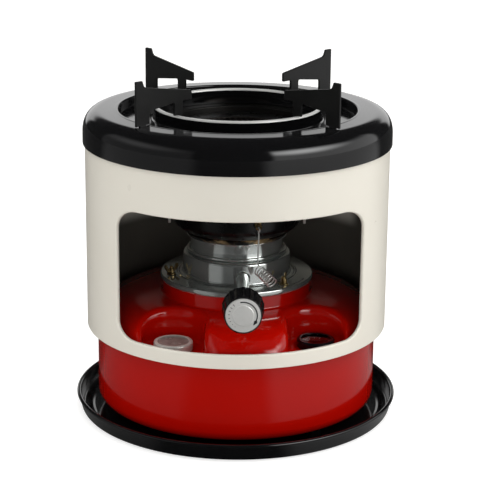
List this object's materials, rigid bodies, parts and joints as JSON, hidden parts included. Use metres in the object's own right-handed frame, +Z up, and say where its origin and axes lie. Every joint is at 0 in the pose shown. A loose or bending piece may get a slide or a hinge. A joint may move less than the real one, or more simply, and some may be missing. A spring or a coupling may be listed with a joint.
{
  "type": "kerosene wick stove",
  "caption": "Round portable kerosene stove: drip tray, fuel tank with filler and gauge, wick winder with front knob, lift-out burner, windowed casing and pot rests.",
  "frame": {"origin": "centre of the drip tray's underside, on the axis of the tank and burner", "axes": "+Z up; the knob and the casing's window face -Y; +X is to the right as seen from the front, on the fuel gauge's side"},
  "size_m": [0.2804, 0.2869, 0.3022],
  "materials": {
    "black_enamel": "gloss",
    "red_enamel": "gloss",
    "cream_enamel": "satin",
    "zinc_plate": "satin",
    "brass": "satin",
    "steel": "satin",
    "chrome": "gloss",
    "black_plastic": "gloss",
    "cotton": "matte",
    "rubber": "matte",
    "cork": "matte",
    "glass": "gloss",
    "dial_face": "matte"
  },
  "bodies": {
    "base": {"drip_tray": "black_enamel", "tank_base": "red_enamel", "tank_foot_1": "rubber", "tank_foot_2": "rubber", "tank_foot_3": "rubber", "tank_foot_4": "rubber", "draft_tube": "steel", "tank_top": "red_enamel", "filler_neck": "zinc_plate", "filler_seal": "rubber", "gauge_bezel": "chrome", "gauge_lens": "glass", "gauge_dial": "dial_face", "gauge_housing": "zinc_plate", "wick_collar": "zinc_plate", "collar_gasket": "rubber", "outer_wick_tube": "zinc_plate", "collar_stud_1": "brass", "collar_stud_2": "brass", "collar_stud_3": "brass", "stud_washer_1": "brass", "stud_washer_2": "brass", "stud_washer_3": "brass", "wing_nut_1": "brass", "wing_nut_2": "brass", "wing_nut_3": "brass", "shaft_sleeve": "zinc_plate", "burner_shroud": "zinc_plate", "casing_shell": "cream_enamel", "top_cap": "black_enamel", "pot_rest_1": "black_enamel", "pot_rest_2": "black_enamel", "pot_rest_3": "black_enamel", "pot_rest_4": "black_enamel"},
    "knob": {"knob_body": "black_plastic", "knob_face": "steel", "knob_shaft": "steel", "wick_pinion": "brass"},
    "wick_lift": {"wick": "cotton", "wick_carrier": "steel", "wick_rack": "brass"},
    "burner": {"burner_base": "brass", "burner_bowl": "black_enamel", "burner_drum": "black_enamel", "outer_flame_tube": "steel", "inner_flame_tube": "steel", "flame_spreader": "steel", "burner_cross_pin": "steel", "handle_bracket": "brass"},
    "handle": {"lift_handle": "steel"},
    "filler_lid": {"filler_cap": "chrome"},
    "float": {"gauge_float": "cork", "gauge_float_arm": "steel"},
    "needle": {"gauge_needle": "steel"}
  },
  "joints": [
    {"name": "knob_turn", "type": "hinge", "parent": "base", "child": "knob", "pos_m": [0.0055, -0.124, 0.1282], "axis": [0, 1, 0], "range_deg": [0, 208.4]},
    {"name": "wick_raise", "type": "slide", "parent": "base", "child": "wick_lift", "axis": [0, 0, 1], "range_m": [0, 0.02]},
    {"name": "burner_lift", "type": "slide", "parent": "base", "child": "burner", "axis": [0, 0, 1], "range_m": [0, 0.018]},
    {"name": "handle_swing", "type": "hinge", "parent": "burner", "child": "handle", "pos_m": [0.01829, -0.0563, 0.1737], "axis": [-0.9511, -0.309, 0], "range_deg": [0, 50]},
    {"name": "filler_cap_lift", "type": "slide", "parent": "base", "child": "filler_lid", "axis": [0, 0, 1], "range_m": [0, 0.014]},
    {"name": "float_swing", "type": "hinge", "parent": "base", "child": "float", "pos_m": [0.0667, -0.0739, 0.061], "axis": [1, 0, 0], "range_deg": [0, 45]},
    {"name": "needle_turn", "type": "hinge", "parent": "base", "child": "needle", "pos_m": [0.0667, -0.0739, 0.078], "axis": [0, 0, 1], "range_deg": [-135, 0]}
  ],
  "couplings": [
    {"joint": "knob_turn", "follows": "wick_raise", "rad_per_m": 181.82},
    {"joint": "needle_turn", "follows": "float_swing", "ratio": -3}
  ]
}
